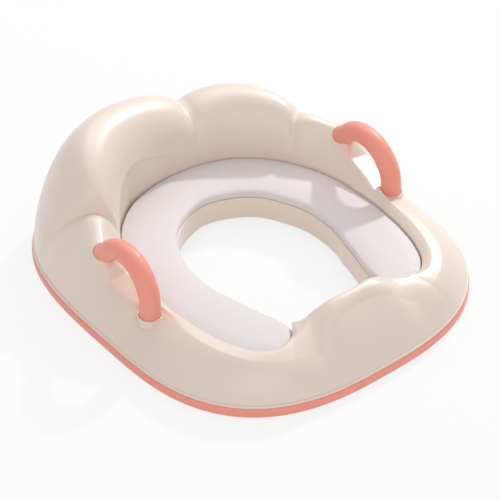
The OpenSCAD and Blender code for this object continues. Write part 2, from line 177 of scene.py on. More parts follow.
class Form:
    """Lines of the seat as functions of the angle a from the back, in degrees."""

    def __init__(self, sizes):
        self.half_w = sizes.half_w / MM
        self.rear_l = sizes.rear_l / MM
        self.front_l = sizes.front_l / MM
        self.lobe_left = sizes.lobe_left / MM
        self.lobe_right = sizes.lobe_right / MM
        self.notch_z = sizes.notch_z / MM
        self.side_z = sizes.side_z / MM
        self.shoulder_z = sizes.shoulder_z / MM
        self.brim_z = sizes.brim_z / MM
        self.guard_z = sizes.guard_z / MM
        self.cushion_z = sizes.cushion_z / MM
        self.centre_y = (self.rear_l - self.front_l) / 2
        # Angles of the lobes' peaks, of the notch between them and of the side notches.
        self.left_peak, self.right_peak = -22.0, 29.0
        self.notch_a, self.side_a = 12.5, 49.0
        # Crest from the side notch over shoulder and brim to the guard.
        s, b, g = self.shoulder_z, self.brim_z, self.guard_z
        self.low = [[self.side_a, self.side_z], [51.5, s - 1.5], [54, s], [58, s - 1.5],
                    [64.4, s - 4], [69, s - 5.5], [74, s - 13], [82, b + 11.5], [90, b + 5.5],
                    [98, b + 1], [120, b], [140, b + 0.5], [150, b + 2.5],
                    [158, 0.65 * b + 0.35 * g], [163, 0.35 * b + 0.65 * g], [169, g - 1.5],
                    [174, g], [180, g]]

    def foot(self, a):
        """Foot print radius: superellipse, squarer behind than in front."""
        rear = np.abs(a) < 90
        reach = np.where(rear, self.rear_l, self.front_l)
        n = np.where(rear, REAR_N, FRONT_N)
        return ((np.abs(sin_d(a)) / self.half_w) ** n + (np.abs(cos_d(a)) / reach) ** n) ** (-1 / n)

    def hole(self, a):
        """Radius of the hole."""
        return along(np.abs(a), HOLE)

    def recess(self, a):
        """Outer radius of the cushion recess; at the guard it closes on the hole."""
        b = np.abs(a)
        return np.where(b > GUARD_A, self.hole(a) + LEDGE_MIN,
                        along(np.minimum(b, GUARD_A), RECESS))

    def crest_z(self, a):
        """Height of the crest, softened at the notches: the mean of the crest line over
        a few degrees, the nearer places counting more."""
        a = np.asarray(a, float)
        wide = 1 - SOFTEN_NARROW * ease((np.abs(a) - NARROW_FROM) / NARROW_OVER)
        return sum(weight * self.crest_line(a + side * wide)
                   for side, weight in SOFTEN) / SOFTEN_SUM

    def crest_line(self, a):
        """Arches (superellipse quarters) over the two lobes and a drawn line over
        shoulders, brim and guard, meeting in crisp notches."""
        b = np.abs(a)

        def arch(u, low, high, n):
            return low + (high - low) * power(1 - power(np.clip(u, 0, 1), n), 1 / n)

        left, right, notch, side = self.left_peak, self.right_peak, self.notch_a, self.side_a
        return np.select(
            [b >= side, a < left, a < notch, a < right],
            [along(np.maximum(b, side), self.low),
             arch((left - a) / (left + side), self.side_z, self.lobe_left, LOBE_N),
             arch((a - left) / (notch - left), self.notch_z, self.lobe_left, SLOPE_N),
             arch((right - a) / (right - notch), self.notch_z, self.lobe_right, LOBE_N)],
            arch((a - right) / (side - right), self.side_z, self.lobe_right, LOBE_N))

    def crest_r(self, a):
        """Radius of the crest: a drawn distance outside the recess, and a fixed one
        outside the hole along the guard."""
        b = np.abs(a)
        before = np.minimum(b, GUARD_FROM)
        near = self.recess(before) + along(before, CREST_OUT)
        s = ease((b - GUARD_FROM) / GUARD_OVER)
        return (1 - s) * near + s * (self.hole(a) + GUARD_IN)

    def skirt(self, a):
        """Radius of the wall that stands inside the grip band."""
        return self.foot(a) - BAND_W - SKIRT_GAP

    def to_mesh(self, a, section):
        """Points [angle, station] from radius and height arrays, in metres."""
        r, z = section[..., 0], section[..., 1]
        x = r * sin_d(a)[:, None]
        y = r * cos_d(a)[:, None] - self.centre_y
        return np.stack([x, y, z], -1) * MM


def quarter(r0, z0, rc, zc, n, t):
    """Rounded quarter from [r0, z0] to the crest [rc, zc]: a superellipse of power n
    at parameter t degrees."""
    return rc + (r0 - rc) * power(cos_d(t), 2 / n), z0 + (zc - z0) * power(sin_d(t), 2 / n)


def outer_face(form, a, face_steps, outer_steps):
    """Outer face of the dome from lip to crest. Where SHARE is 0 it is one quarter;
    where it is 1 a gently bulged face runs up to a crease, and from there a power curve
    of the distance from the crest leads up to it. The bulge is a parabola over the
    straight line from lip to crease, FACE high in its middle."""
    b = np.abs(a)[:, None]
    r0 = (form.foot(a) - LIP_IN)[:, None]
    rc, zc = form.crest_r(a)[:, None], form.crest_z(a)[:, None]
    n = along(b, OUTER_N)
    r1 = rc + (r0 - rc) * softly(b, CREASE)
    z1 = LIP_Z + (zc - LIP_Z) * softly(b, DROP)
    g = along(b, SHARE)
    f = 4 * along(b, FACE) / np.hypot(r0 - r1, z1 - LIP_Z)
    u = (np.arange(face_steps) / face_steps)[None, :]
    h = f * u * (1 - u)
    plain = quarter(r0, LIP_Z, rc, zc, n, LOW_T * u)
    low_r = (1 - g) * plain[0] + g * (r0 + (r1 - r0) * u + h * (z1 - LIP_Z))
    low_z = (1 - g) * plain[1] + g * (LIP_Z + (z1 - LIP_Z) * u + h * (r0 - r1))
    v = (np.arange(outer_steps + 1) / outer_steps)[None, :]
    plain = quarter(r0, LIP_Z, rc, zc, n, LOW_T + (90 - LOW_T) * v)
    top_r = (1 - g) * plain[0] + g * (r1 + (rc - r1) * v)
    top_z = (1 - g) * plain[1] + g * (zc - (zc - z1) * power(1 - v, softly(b, EDGE_N)))
    return np.stack([np.hstack([low_r, top_r]), np.hstack([low_z, top_z])], -1)


def inner_face(form, a, steps):
    """Inner face from the crest down to the recess edge: a superellipse quarter that
    aims inside the edge by BULGE, so that the recess wall cuts it in an arch."""
    n = along(np.abs(a), INNER_N)[:, None]
    rc, zc = form.crest_r(a)[:, None], form.crest_z(a)[:, None]
    re = form.recess(a)[:, None]
    rf = re - along(a, BULGE)[:, None]
    rim = form.cushion_z + RIM_STEP
    t0 = np.degrees(np.arccos(np.clip(((rc - re) / (rc - rf)) ** (n / 2), -1, 1)))
    t = 90 + (t0 - 90) * (np.arange(1, steps + 1) / steps)[None, :]
    return np.stack([rc - (rc - rf) * power(cos_d(t), 2 / n),
                     rim + (zc - rim) * power(sin_d(t), 2 / n)], -1)


def round_crest(form, a, dome):
    """Takes the ridge off the crest of dome, in place: the section is raised by the
    square of its height share, and a hyperbola over the crest line, bent most at the
    crest and blended in softly, cuts it off."""
    w = along(np.abs(a), ROUND)[:, None]
    rc, zc = form.crest_r(a)[:, None], form.crest_z(a)[:, None]
    r, z = dome[..., 0], dome[..., 1]
    share = np.clip((z - DECK_Z) / (zc - DECK_Z), 0, 1)
    bend = np.hypot(1, ROUND_BEND / ROUND_SLOPE * (r - rc)) - 1
    cap = zc + ROUND_SOFT / 4 - w * ROUND_SLOPE**2 / ROUND_BEND * bend
    dome[..., 1] = np.where(w > 0, soft_min(z + ROUND_RISE * w * share**2, cap,
                                            ROUND_SOFT * np.maximum(w, 0.05)), z)


def rounded(corners, radii, steps=4):
    """Polyline through corners (arrays [angle, 2]) whose inner corners are rounded by a
    small parabola that starts the radius away, or less where a side is short."""
    out = [corners[0][:, None, :]]
    s = np.linspace(0, 1, steps + 1)[None, :, None]
    for before, corner, after, radius in zip(corners, corners[1:], corners[2:], radii):
        back, ahead = before - corner, after - corner
        lb = np.linalg.norm(back, axis=1, keepdims=True)
        la = np.linalg.norm(ahead, axis=1, keepdims=True)
        t = np.minimum(radius, 0.45 * np.minimum(lb, la))
        start, end = corner + back / lb * t, corner + ahead / la * t
        out.append((1 - s) ** 2 * start[:, None] + 2 * s * (1 - s) * corner[:, None]
                   + s**2 * end[:, None])
    out.append(corners[-1][:, None, :])
    return np.concatenate(out, 1)


def point(r, z):
    """Corner array [angle, 2] from a radius array and a height or height array."""
    return np.stack([r, np.broadcast_to(z, r.shape)], -1)


def soft_min(p, q, k):
    """Smaller of two heights, blended over a width k by a parabola."""
    h = np.clip(0.5 + 0.5 * (q - p) / k, 0, 1)
    return q * (1 - h) + p * h - k * h * (1 - h)


# Handles

# Tube and arc of a hoop, its place inside the foot print's side and its lean inwards.
HANDLE_INSET = 31.5
HANDLE_D = 19.6
HOOP_R, HOOP_Z, HOOP_Y = 35.0, 53.5, 0.5
LEAN = math.radians(3)
# Top of the front collar, depth of the front leg below it, wall of the collar.
COLLAR_Z, FRONT_IN, COLLAR_W = 43.5, 9.0, 1.2
# Rear leg: length above the shoulder and below it. Sockets: gap round a leg, and how far
# the front one's tool reaches above the collar and the rear one's above the shoulder.
REAR_LEG, REAR_IN = 18.4, 12.0
SOCKET_GAP, SOCKET_UP, SOCKET_PAST = 0.3, 31.0, 8.0
# Ledge under a hoop: height at its front, tilt outwards, reach inwards from the hoop,
# slope of the walls that bound it, and its line from front to rear as [y, rise].
LEDGE_Z, LEDGE_TILT, LEDGE_HALF = 44.5, math.radians(8), 23.0
LEDGE_FRONT, LEDGE_END = HOOP_Y - HOOP_R + 6.5, 12.7
STEEP = 30.0
LEDGE_LINE = [[LEDGE_FRONT - 2, 2 * STEEP], [LEDGE_FRONT, 0], [LEDGE_END, 11.4],
              [LEDGE_END + 8.3, 21], [LEDGE_END + 22, 36], [LEDGE_END + 24, 36 + 2 * STEEP]]
# Blend of ledge and dome, wider along the ramp, and the crown of the ramp.
LEDGE_SOFT, RAMP_SOFT, RAMP_FROM, RAMP_OVER = 2.5, 5.0, 5.0, 20.0
RAMP_CROWN, CROWN_OVER = 0.013, 10.0


# Way of the rear leg: down to the rear at 45 degrees.
REAR_WAY = np.array([0, math.sin(math.pi / 4), -math.cos(math.pi / 4)])


def lean_in(points, handle_x):
    """Handle frame to part frame: turned inwards about the collar height."""
    x, y, z = points[..., 0], points[..., 1], points[..., 2] - COLLAR_Z
    return np.stack([handle_x + x * math.cos(LEAN) - z * math.sin(LEAN), y,
                     COLLAR_Z + x * math.sin(LEAN) + z * math.cos(LEAN)], -1)


def tube(path, radius, sides):
    """Circle of the radius carried along a planar path in the YZ plane; the rings stand
    square to the path. radius may be an array with one value per ring."""
    ahead = np.gradient(path, axis=0)
    ahead /= np.linalg.norm(ahead, axis=1, keepdims=True)
    side = np.array([1.0, 0, 0])
    up = np.cross(ahead, side)
    w = np.linspace(0, 2 * np.pi, sides, endpoint=False)
    radius = np.broadcast_to(np.asarray(radius, float), (len(path),))[:, None, None]
    return (path[:, None, :] + radius * (np.cos(w)[None, :, None] * side
            + np.sin(w)[None, :, None] * up[:, None, :]))


def hoop_path():
    """Middle line of a handle: straight front leg, arc over 135 degrees, straight rear
    leg down into the shoulder."""
    front = np.array([[0, HOOP_Y - HOOP_R, z] for z in
                      np.linspace(COLLAR_Z - FRONT_IN, HOOP_Z, 12, endpoint=False)])
    t = np.radians(np.linspace(180, 45, 72))
    arc = np.stack([0 * t, HOOP_Y + HOOP_R * np.cos(t), HOOP_Z + HOOP_R * np.sin(t)], -1)
    s = np.linspace(0, REAR_LEG + REAR_IN, 18)[1:, None]
    return np.vstack([front, arc, arc[-1] + s * REAR_WAY])


def ledge_height(x, y, handle_x):
    """Height of the cut below a hoop at a place: straight stretches that rise to the
    rear, tilted outwards; the ramp behind the hoop is crowned by a parabola across it,
    and steep walls rise past the front and rear ends and on the cushion's side."""
    places, rises = np.array(LEDGE_LINE).T
    out = np.abs(x) - handle_x
    past = np.maximum(-out - LEDGE_HALF, 0)
    crown = RAMP_CROWN * out**2 * np.clip((y - LEDGE_END) / CROWN_OVER, 0, 1)
    return LEDGE_Z + np.interp(y, places, rises) - np.tan(LEDGE_TILT) * out - crown + STEEP * past


def ledge_blend(y):
    """Width over which dome and ledge are blended at a place."""
    return LEDGE_SOFT + RAMP_SOFT * np.clip((y - RAMP_FROM) / RAMP_OVER, 0, 1)


# Mesh making


def volume(points, faces):
    """Signed volume under a quad mesh, positive when its faces point outwards."""
    p = points[faces]
    return (np.einsum("ij,ij->i", np.cross(p[:, 0], p[:, 1]), p[:, 2])
            + np.einsum("ij,ij->i", np.cross(p[:, 0], p[:, 2]), p[:, 3])).sum() / 6


def skin(name, grid, wrap=True, sharp=40.0):
    """Mesh object over a grid of points [ring, place on ring]. Rings are closed loops;
    with wrap the last ring joins the first, else the end rings are capped. Faces point
    outwards. UVs run from ring to ring (U) and round them (V)."""
    n, m = grid.shape[:2]
    i = np.arange(n if wrap else n - 1)[:, None]
    j = np.arange(m)[None, :]
    quads = np.stack(np.broadcast_arrays(i * m + j, ((i + 1) % n) * m + j,
                                         ((i + 1) % n) * m + (j + 1) % m,
                                         i * m + (j + 1) % m), -1).reshape(-1, 4)
    u = np.stack(np.broadcast_arrays(i, i + 1, i + 1, i), -1) / (n if wrap else n - 1)
    v = np.stack(np.broadcast_arrays(j, j, j + 1, j + 1), -1) / m
    uv = np.stack(np.broadcast_arrays(u, v), -1).reshape(-1, 4, 2)
    flat = grid.reshape(-1, 3)
    caps = [] if wrap else [list(range(m - 1, -1, -1)), list(range((n - 1) * m, n * m))]
    if volume(flat, quads) < 0:
        quads, uv = quads[:, ::-1], uv[:, ::-1]
        caps = [cap[::-1] for cap in caps]
    faces = quads.tolist() + caps
    mesh = bpy.data.meshes.new(name)
    mesh.from_pydata(flat, [], faces)
    layer = mesh.uv_layers.new(name="skin")
    values = np.zeros((len(mesh.loops), 2), np.float32)
    values[:quads.size] = uv.reshape(-1, 2)
    layer.data.foreach_set("uv", values.ravel())
    mesh.validate()
    return mesh_object(name, mesh, sharp)


def mesh_object(name, mesh, sharp):
    """Smooth-shaded object with edges past sharp degrees kept, linked to the scene."""
    mesh.shade_smooth()
    mesh.set_sharp_from_angle(angle=math.radians(sharp))
    obj = bpy.data.objects.new(name, mesh)
    bpy.context.scene.collection.objects.link(obj)
    return obj


def cylinder_grid(base, axis, radius, length, sides=96):
    """Rings of a straight cylinder from base along a unit axis."""
    axis = np.asarray(axis, float)
    side = np.array([1.0, 0, 0])
    up = np.cross(axis, side)
    w = np.linspace(0, 2 * np.pi, sides, endpoint=False)
    ring = np.cos(w)[:, None] * side + np.sin(w)[:, None] * up
    return np.stack([base + radius * ring, base + radius * ring + axis * length])


def cut(obj, tools, operation):
    """Applies one exact Boolean of the joined tools, which may cross each other, to
    obj's mesh and removes the tools."""
    with bpy.context.temp_override(active_object=tools[0], selected_editable_objects=tools):
        bpy.ops.object.join()
    tool = tools[0]
    change = obj.modifiers.new("cut", "BOOLEAN")
    change.operation, change.solver, change.object = operation, "EXACT", tool
    change.use_self = True
    evaluated = obj.evaluated_get(bpy.context.evaluated_depsgraph_get())
    mesh = bpy.data.meshes.new_from_object(evaluated)
    obj.modifiers.clear()
    if len(mesh.polygons) < len(obj.data.polygons) / 2:
        raise RuntimeError(f"the {operation.lower()} on {obj.name} left too little")
    obj.data = mesh
    bpy.data.objects.remove(tool)


# Materials


class Value:
    """A shader socket with arithmetic: expressions add Math nodes."""

    def __init__(self, paint, socket):
        self.paint, self.socket = paint, socket

    def _math(self, operation, *terms):
        return self.paint.node("ShaderNodeMath", {"operation": operation}, dict(enumerate(terms)))

    def __add__(self, other):
        return self._math("ADD", self, other)

    def __sub__(self, other):
        return self._math("SUBTRACT", self, other)

    def __mul__(self, other):
        return self._math("MULTIPLY", self, other)

    def __rsub__(self, other):
        return self._math("SUBTRACT", other, self)

    def below(self, other):
        """1 where this is less than the other, else 0."""
        return self._math("LESS_THAN", self, other)

    def size(self):
        """This without its sign."""
        return self._math("ABSOLUTE", self)

    __radd__, __rmul__ = __add__, __mul__


class Paint:
    """The emptied node tree of a material or world that owns it."""

    def __init__(self, owner):
        self.owner = owner
        self.tree = owner.node_tree
        self.tree.nodes.clear()

    def node(self, kind, settings=None, inputs=None, out=0):
        """Adds a node: its settings first, then values or links of its sockets."""
        made = self.tree.nodes.new(kind)
        for key, value in (settings or {}).items():
            setattr(made, key, value)
        for key, value in (inputs or {}).items():
            if isinstance(value, Value):
                self.tree.links.new(value.socket, made.inputs[key])
            else:
                made.inputs[key].default_value = value
        return Value(self, made.outputs[out]) if made.outputs else None

    def seen(self):
        """1 for rays that show the background: camera, glossy and transmission rays."""
        camera, glossy, through = (self.node("ShaderNodeLightPath", out=f"Is {kind} Ray")
                                   for kind in ("Camera", "Glossy", "Transmission"))
        return self.node("ShaderNodeMath", {"operation": "ADD", "use_clamp": True},
                         {0: camera, 1: glossy + through})

    def place(self):
        """Object coordinates."""
        return self.node("ShaderNodeTexCoord", out="Object")

    def noise(self, scale, detail=2.0, rough=0.5):
        """Smooth noise from 0 to 1."""
        return self.node("ShaderNodeTexNoise", {},
                         {"Vector": self.place(), "Scale": scale, "Detail": detail,
                          "Roughness": rough})

    def cells(self, scale):
        """Distance to the nearest cell centre, smooth between cells."""
        return self.node("ShaderNodeTexVoronoi", {"feature": "SMOOTH_F1"},
                         {"Vector": self.place(), "Scale": scale})

    def blend(self, factor, first, second):
        """Colour from first to second by the factor."""
        return self.node("ShaderNodeMix", {"data_type": "RGBA"},
                         {0: factor, 6: first, 7: second}, out=2)

    def bump(self, height, strength, distance, normal=None):
        """Normal tilted by a height field."""
        inputs = {"Height": height, "Strength": strength, "Distance": distance}
        if normal is not None:
            inputs["Normal"] = normal
        return self.node("ShaderNodeBump", {}, inputs)

    def finish(self, inputs):
        """Principled surface with the given sockets, joined to the output."""
        surface = self.node("ShaderNodeBsdfPrincipled", {}, inputs)
        self.node("ShaderNodeOutputMaterial", {}, {"Surface": surface})
        return self.owner


def paint(name):
    """Paint on a new material."""
    material = bpy.data.materials.new(name)
    material.use_nodes = True
    return Paint(material)


def rgba(colour, k=1.0):
    """Colour property as four numbers, dimmed by k."""
    return (colour[0] * k, colour[1] * k, colour[2] * k, 1.0)


def moulded_plastic(name, colour, rough, grain, coat=0.0):
    """Injection-moulded plastic: faint clouding of the colour, a fine spark-eroded grain
    and a slow unevenness of the gloss."""
    p = paint(name)
    cloud = p.noise(9.0, 3.0)
    fine = p.noise(2600.0, 2.0, 0.6)
    slow = p.noise(38.0, 2.0)
    normal = p.bump(fine, grain, 0.00004)
    normal = p.bump(slow, 0.05, 0.0004, normal)
    return p.finish({
        "Base Color": p.blend(cloud, rgba(colour), rgba(colour, 0.965)),
        "Roughness": rough - 0.04 + 0.08 * p.noise(60.0, 3.0),
        "IOR": 1.52,
        "Coat Weight": coat,
        "Coat Roughness": 0.36,
        "Normal": normal,
    })


def soft_rubber(name, colour, seam=False):
    """Overmoulded soft rubber: matt, finely pored, a shade deeper in its clouds; a
    handle also has a hairline mould seam along both flanks of its UV map."""
    p = paint(name)
    cloud = p.noise(22.0, 3.0)
    pores = p.cells(1500.0)
    fine = p.noise(3200.0, 2.0, 0.6)
    height = 0.6 * fine + 0.4 * pores
    normal = p.bump(height, 0.16, 0.00006)
    if seam:
        parts = p.node("ShaderNodeSeparateXYZ", {},
                       {0: p.node("ShaderNodeTexCoord", out="UV")}, out=1)
        line = ((parts - 0.25).size().below(0.0022) + (parts - 0.75).size().below(0.0022))
        normal = p.bump(line, 0.25, 0.00012, normal)
    return p.finish({
        "Base Color": p.blend(cloud, rgba(colour), rgba(colour, 0.94)),
        "Roughness": 0.36 + 0.1 * p.noise(90.0, 3.0),
        "IOR": 1.5,
        "Sheen Weight": 0.06,
        "Sheen Roughness": 0.4,
        "Normal": normal,
    })


def foam_skin(name, colour):
    """Skin of a moulded foam pad: very fine leather grain of soft cells, slow dimples
    from the foam below, matt with a faint sheen."""
    p = paint(name)
    grain = p.cells(620.0)
    fine = p.noise(2400.0, 3.0, 0.6)
    slow = p.noise(46.0, 2.0)
    normal = p.bump(0.7 * grain + 0.3 * fine, 0.22, 0.00012)
    normal = p.bump(slow, 0.12, 0.0008, normal)
    tint = p.blend(p.noise(14.0, 3.0), rgba(colour), rgba(colour, 0.97))
    return p.finish({
        "Base Color": p.blend(0.25 * grain, tint, rgba(colour, 0.9)),
        "Roughness": 0.5 + 0.12 * p.noise(120.0, 3.0),
        "IOR": 1.45,
        "Sheen Weight": 0.1,
        "Sheen Roughness": 0.5,
        "Normal": normal,
    })


def steel(name, colour):
    """Zinc-plated steel: patchy colour and gloss over a very fine grain."""
    p = paint(name)
    return p.finish({
        "Base Color": p.blend(p.noise(400.0, 3.0), rgba(colour), rgba(colour, 0.8)),
        "Metallic": 1.0,
        "Roughness": 0.28 + 0.2 * p.noise(900.0, 3.0),
        "Normal": p.bump(p.noise(3000.0, 2.0), 0.15, 0.00003),
    })


def wear(obj, material):
    """Gives an object this one material."""
    obj.data.materials.clear()
    obj.data.materials.append(material)


def stand_in(obj, material, node):
    """Gives a piece its material, lets it ride on the root and stand for a CAD node."""
    wear(obj, material)
    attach(obj, "root")
    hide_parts(node)


def dress_node(node, material):
    """Gives a CAD node a material in all its slots."""
    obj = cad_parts[node]
    if not obj.material_slots:
        obj.data.materials.append(material)
    for s in obj.material_slots:
        s.material = material


# Properties


def length(name, text, default, soft=1.0):
    """Length property in metres."""
    return FloatProperty(name=name, description=text, default=default, min=0.0,
                         soft_max=soft, unit="LENGTH", precision=4)


def tint(name, text, default):
    """Colour property."""
    return FloatVectorProperty(name=name, description=text, default=default, size=3,
                               min=0.0, max=1.0, subtype="COLOR")


def watts(name, text, default):
    """Power of a lamp, in watts."""
    return FloatProperty(name=name, description=text, default=default, min=0.0, unit="POWER")


def spot(name, text, default):
    """Place property in metres."""
    return FloatVectorProperty(name=name, description=text, default=default, unit="LENGTH",
                               subtype="TRANSLATION")


class SeatSizes(bpy.types.PropertyGroup):
    """Sizes of the moulded form; the half width and the left lobe come from the frame."""

    half_w: length("Half width", "Half width of the foot print",
                   round(span_mm("grip_band", 0) / 2, 1) * MM)
    rear_l: length("Rear reach", "Foot print from the polar centre to the rear", 0.2158)
    front_l: length("Front reach", "Foot print from the polar centre to the front", 0.1705)
    lobe_left: length("Left lobe", "Height of the broad left lobe",
                      round(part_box("seat_shell")[1][2] / MM, 1) * MM)
    lobe_right: length("Right lobe", "Height of the narrow right lobe", 0.0955)
    notch_z: length("Middle notch", "Height of the notch between the lobes", 0.081)
    side_z: length("Side notches", "Height of the notches beside the shoulders", 0.074)
    shoulder_z: length("Shoulders", "Height of the shoulders behind the handles", 0.079)
    brim_z: length("Brim", "Height of the brim beside the cushion", 0.0455)
    guard_z: length("Guard", "Height of the front guard", 0.068)
    cushion_z: length("Cushion top", "Height of the cushion top", 0.039)
    swell: length("Cushion swell", "Most that the foam skin rises under its pressure",
                  0.0012, 0.005)
    fill: FloatProperty(name="Fill", description="How full and tight the cushion is",
                        default=0.85, min=0.0, max=1.0, subtype="FACTOR")


class SeatColours(bpy.types.PropertyGroup):
    """Colours of the finishes, as linear values."""

    shell: tint("Shell", "Cream moulded plastic", (0.84, 0.715, 0.62))
    coral: tint("Grips", "Coral rubber of handles and band", (0.98, 0.36, 0.275))
    cushion: tint("Cushion", "Skin of the foam cushion", (0.78, 0.74, 0.745))
    plate: tint("Bottom plate", "Plastic of the bottom plate", (0.72, 0.60, 0.51))
    screws: tint("Screws", "Plated steel", (0.62, 0.62, 0.64))


class SeatStage(bpy.types.PropertyGroup):
    """Camera, key light, soft and front panels and room light."""

    lens: FloatProperty(name="Lens", description="Focal length on a 36 mm sensor, in mm",
                        default=165.4, min=20.0, max=400.0)
    camera: spot("Camera", "Place of the camera", (-1.0410, -1.2895, 1.3805))
    aim: spot("Aim", "Point the camera looks at", (0.0161, 0.0210, 0.0))
    fill: FloatProperty(name="Room light", description="Strength of the even room light",
                        default=0.57, min=0.0)
    key: watts("Key light", "Power of the key light", 24.0)
    key_size: length("Key size", "Side of the key light", 0.13)
    key_from: FloatVectorProperty(name="Key direction", default=(1.225, 0.45, 1.0),
                                  description="Direction from the seat to the key light",
                                  subtype="XYZ")
    key_far: length("Key distance", "Distance of the key light", 2.4, 5.0)
    panel: watts("Soft panel", "Power of the panel behind", 9.0)
    panel_size: length("Panel size", "Side of the soft panel", 1.4, 3.0)
    panel_at: spot("Panel place", "Place of the soft panel", (0.80, 1.05, 1.75))
    front: watts("Front panel", "Power of the panel in front", 13.0)
    front_size: length("Front size", "Side of the front panel", 2.4, 3.0)
    front_at: spot("Front place", "Place of the front panel", (-1.30, -1.70, 1.60))


# Operators


def dense(start, end, step, spots):
    """Angles from start up to, not with, end: spaced by step, or finer near each spot
    (centre, half width, step). The inverse of the spacing, summed along the range,
    counts the rings, and equal shares of that sum place them."""
    tick, fade = 0.01, 4.0
    a = np.arange(start, end, tick)
    gap = np.full(a.shape, step)
    for centre, half, fine in spots:
        gap = np.minimum(gap, fine + (step - fine) * ease((np.abs(a - centre) - half) / fade))
    walk = np.concatenate([[0], np.cumsum(tick / gap)])
    count = int(round(walk[-1]))
    return np.interp(np.arange(count) * walk[-1] / count, walk, np.append(a, end))


class SEAT_OT_shell(bpy.types.Operator):
    """Make the moulded shell: one closed section at every angle, pressed down to the
    ledges below the handles, with collars and sockets for their legs"""

    bl_idname = "seat.shell"
    bl_label = "Shell"

    def execute(self, context):
        sizes = context.scene.seat_sizes
        form = Form(sizes)
        handle_x = form.half_w - HANDLE_INSET
        # Finer rings at the three notches, behind the handles and where the recess ends.
        a = dense(-180, 180, 1.0, [(-form.side_a, 2, 0.3), (form.notch_a, 2, 0.3),
                                   (form.side_a, 2, 0.3), (79, 14, 0.42), (-79, 14, 0.42),
                                   (153.5, 2.5, 0.35), (-153.5, 2.5, 0.35)])
        outer = outer_face(form, a, 24, 36)
        inner = inner_face(form, a, 34)
        dome = np.concatenate([outer, inner], 1)
        round_crest(form, a, dome)
        x = dome[..., 0] * sin_d(a)[:, None]
        y = dome[..., 0] * cos_d(a)[:, None] - form.centre_y
        dome[..., 1] = soft_min(dome[..., 1], ledge_height(x, y, handle_x), ledge_blend(y))
        # From inside the band out over its top, and back in below the stepped lip.
        rim = form.foot(a) - LIP_BACK
        skirt = rounded(
            [point(form.skirt(a), SKIRT_Z), point(form.skirt(a), BAND_H),
             point(rim - 0.1, BAND_H), point(rim, BAND_H + 2.3), point(rim - 1.1, LIP_Z - 0.7),
             point(rim - 1.6, LIP_Z - 0.9)],
            [0.5, 0.9, 1.0, 0.4])
        back, hole = SET_BACK * along(a, BULGE), form.hole(a)
        edge = form.recess(a) + back
        well = rounded(
            [dome[:, -1], point(edge, dome[:, -1, 1] - EDGE_STEP - EDGE_LEAN * back),
             point(edge, DECK_Z), point(hole, DECK_Z), point(hole, HOLE_Z),
             point(hole + WALL, HOLE_Z)], [0.35, 0.5, 1.2, 0.8])[:, 1:]
        shell = np.concatenate([skirt, dome, well, self.hollow(form, a)], 1)
        obj = skin("shell", form.to_mesh(a, shell))
        self.seat_handles(obj, handle_x)
        cream = moulded_plastic("cream_plastic", context.scene.seat_colours.shell,
                                rough=0.42, grain=0.1, coat=1.0)
        stand_in(obj, cream, "seat_shell")
        return {"FINISHED"}

    @staticmethod
    def hollow(form, a):
        """Inside of the shell: it follows the lowest crest nearby under the lobes and
        stays low elsewhere, where handles and guard need solid stock."""
        crest = np.min([form.crest_z(a + d) for d in (-3, -1.5, 0, 1.5, 3)], 0) - 2 * WALL
        top = np.where(np.abs(a) < form.side_a - 4, crest, np.minimum(crest, DECK_Z - 0.5))
        foot, ridge = form.skirt(a) - WALL, form.crest_r(a)
        edge, deck = form.recess(a) + WALL + 3, DECK_Z - WALL
        corner_in, corner_down, haunch = 8.0, 8.0, 0.72
        return np.stack([
            point(form.hole(a) + WALL, deck), point(edge, deck),
            point(np.minimum(edge + corner_in, ridge - 1), np.maximum(deck + 1, top - corner_down)),
            point(ridge, top),
            point((ridge + foot) / 2, deck + haunch * (top - deck)),
            point(foot - 4, haunch * deck), point(foot, LIP_Z), point(foot, SKIRT_Z)], 1)

    @staticmethod
    def seat_handles(obj, handle_x):
        """Collars round the front legs and sockets for both legs of each handle; a rear
        socket starts above the shoulder, so that its mouth is open."""
        rear = hoop_path()[-1] - REAR_WAY * (REAR_IN + SOCKET_PAST)
        foot = np.array([0, HOOP_Y - HOOP_R, COLLAR_Z - FRONT_IN])
        up = np.array([0, 0, 1.0])
        hole = HANDLE_D / 2 + SOCKET_GAP
        collars = [cylinder_grid(foot, up, hole + COLLAR_W, FRONT_IN)]
        sockets = [cylinder_grid(foot, up, hole, FRONT_IN + SOCKET_UP),
                   cylinder_grid(rear, REAR_WAY, hole, REAR_IN + SOCKET_PAST)]
        for grids, operation in ((collars, "UNION"), (sockets, "DIFFERENCE")):
            tools = []
            for side in (1, -1):
                for k, grid in enumerate(grids):
                    placed = lean_in(grid, handle_x) * MM * np.array([side, 1, 1])
                    tools.append(skin(f"tool_{side}_{k}", placed, wrap=False))
            cut(obj, tools, operation)
        obj.data.shade_smooth()
        obj.data.set_sharp_from_angle(angle=math.radians(38))


# Cushion: gap to the recess wall, rise off the deck, how short of the guard it ends, the
# angle over which an end closes in a quarter circle and the share left at its cap, the
# powers of its outer and inner edge, and the places along its flat underside.
CUSHION_GAP, CUSHION_RISE, CUSHION_SHORT = 0.5, 0.3, 0.9
CUSHION_ROUND, END_SHARE = 2.4, 0.25
CUSHION_N = (8.0, 4.2)
UNDER_COUNT = 9


